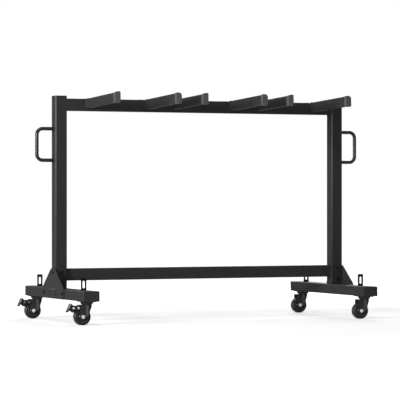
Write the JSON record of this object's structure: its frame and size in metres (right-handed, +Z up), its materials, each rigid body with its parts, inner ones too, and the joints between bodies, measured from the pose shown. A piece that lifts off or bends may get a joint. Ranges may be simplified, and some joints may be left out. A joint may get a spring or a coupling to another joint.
{
  "type": "folding chair cart",
  "caption": "Black steel hanging cart for folding chairs: two posts with push handles, a top rail with capped arms on both sides, a low stretcher and feet on swivel casters, braked at one end.",
  "frame": {"origin": "on the floor, under the middle of the cart", "axes": "+X along the cart to the unbraked end, -Y to the front, +Z up"},
  "size_m": [1.784, 0.8622, 1.1274],
  "materials": {
    "powder_coat": "black fine-texture powder coat",
    "gloss_coat": "smooth semi-gloss black coat",
    "cap_grey": "moulded grey plastic",
    "cap_black": "moulded black plastic",
    "caster_black": "black coated pressed steel",
    "cheek_black": "black coated sheet",
    "pedal_grey": "black coated sheet with a worn zinc tread",
    "zinc": "bright blue zinc",
    "black_oxide": "black oxide",
    "inner_steel": "primed steel",
    "race_nylon": "black nylon",
    "hub_black": "moulded black plastic",
    "tyre_black": "black rubber"
  },
  "bodies": {
    "frame": {"arm_caps_front": "cap_grey", "arm_caps_rear": "cap_grey", "arm_front_1": "powder_coat", "arm_front_2": "powder_coat", "arm_front_3": "powder_coat", "arm_front_4": "powder_coat", "arm_front_5": "powder_coat", "arm_front_6": "powder_coat", "arm_rear_1": "powder_coat", "arm_rear_2": "powder_coat", "arm_rear_3": "powder_coat", "arm_rear_4": "powder_coat", "arm_rear_5": "powder_coat", "arm_rear_6": "powder_coat", "caster_bolts": "black_oxide", "caster_plate_front_left": "caster_black", "caster_plate_front_right": "caster_black", "caster_plate_rear_left": "caster_black", "caster_plate_rear_right": "caster_black", "foot_beam_left": "powder_coat", "foot_beam_right": "powder_coat", "foot_end_caps": "cap_black", "frame_bolts": "black_oxide", "gusset_left": "powder_coat", "gusset_right": "powder_coat", "handle_left": "gloss_coat", "handle_right": "gloss_coat", "king_pins": "zinc", "post_caps": "cap_black", "post_left": "powder_coat", "post_right": "powder_coat", "post_spigots": "inner_steel", "strap_tabs_left": "black_oxide", "strap_tabs_right": "black_oxide", "stretcher": "powder_coat", "swivel_races": "race_nylon", "top_rail": "powder_coat"},
    "caster_front_left": {"fork_front_left": "caster_black", "axle_front_left": "zinc", "brake_cheeks_front_left": "cheek_black", "brake_rivets_front_left": "zinc"},
    "wheel_front_left": {"wheel_hub_front_left": "hub_black", "tyre_front_left": "tyre_black"},
    "pedal_front_left": {"brake_pedal_front_left": "pedal_grey"},
    "caster_rear_left": {"fork_rear_left": "caster_black", "axle_rear_left": "zinc", "brake_cheeks_rear_left": "cheek_black", "brake_rivets_rear_left": "zinc"},
    "wheel_rear_left": {"wheel_hub_rear_left": "hub_black", "tyre_rear_left": "tyre_black"},
    "pedal_rear_left": {"brake_pedal_rear_left": "pedal_grey"},
    "caster_front_right": {"fork_front_right": "caster_black", "axle_front_right": "zinc"},
    "wheel_front_right": {"wheel_hub_front_right": "hub_black", "tyre_front_right": "tyre_black"},
    "caster_rear_right": {"fork_rear_right": "caster_black", "axle_rear_right": "zinc"},
    "wheel_rear_right": {"wheel_hub_rear_right": "hub_black", "tyre_rear_right": "tyre_black"}
  },
  "joints": [
    {"name": "swivel_front_left", "type": "hinge", "parent": "frame", "child": "caster_front_left", "pos_m": [-0.755, -0.351, 0.1], "axis": [0, 0, 1], "continuous": true},
    {"name": "roll_front_left", "type": "hinge", "parent": "caster_front_left", "child": "wheel_front_left", "pos_m": [-0.78, -0.351, 0.041], "axis": [0, 1, 0], "continuous": true},
    {"name": "brake_front_left", "type": "hinge", "parent": "caster_front_left", "child": "pedal_front_left", "pos_m": [-0.83, -0.351, 0.084], "axis": [0, -1, 0], "range_deg": [0, 22]},
    {"name": "swivel_rear_left", "type": "hinge", "parent": "frame", "child": "caster_rear_left", "pos_m": [-0.755, 0.351, 0.1], "axis": [0, 0, 1], "continuous": true},
    {"name": "roll_rear_left", "type": "hinge", "parent": "caster_rear_left", "child": "wheel_rear_left", "pos_m": [-0.78, 0.351, 0.041], "axis": [0, 1, 0], "continuous": true},
    {"name": "brake_rear_left", "type": "hinge", "parent": "caster_rear_left", "child": "pedal_rear_left", "pos_m": [-0.83, 0.351, 0.084], "axis": [0, -1, 0], "range_deg": [0, 22]},
    {"name": "swivel_front_right", "type": "hinge", "parent": "frame", "child": "caster_front_right", "pos_m": [0.755, -0.351, 0.1], "axis": [0, 0, 1], "continuous": true},
    {"name": "roll_front_right", "type": "hinge", "parent": "caster_front_right", "child": "wheel_front_right", "pos_m": [0.73, -0.351, 0.041], "axis": [0, 1, 0], "continuous": true},
    {"name": "swivel_rear_right", "type": "hinge", "parent": "frame", "child": "caster_rear_right", "pos_m": [0.755, 0.351, 0.1], "axis": [0, 0, 1], "continuous": true},
    {"name": "roll_rear_right", "type": "hinge", "parent": "caster_rear_right", "child": "wheel_rear_right", "pos_m": [0.73, 0.351, 0.041], "axis": [0, 1, 0], "continuous": true}
  ]
}
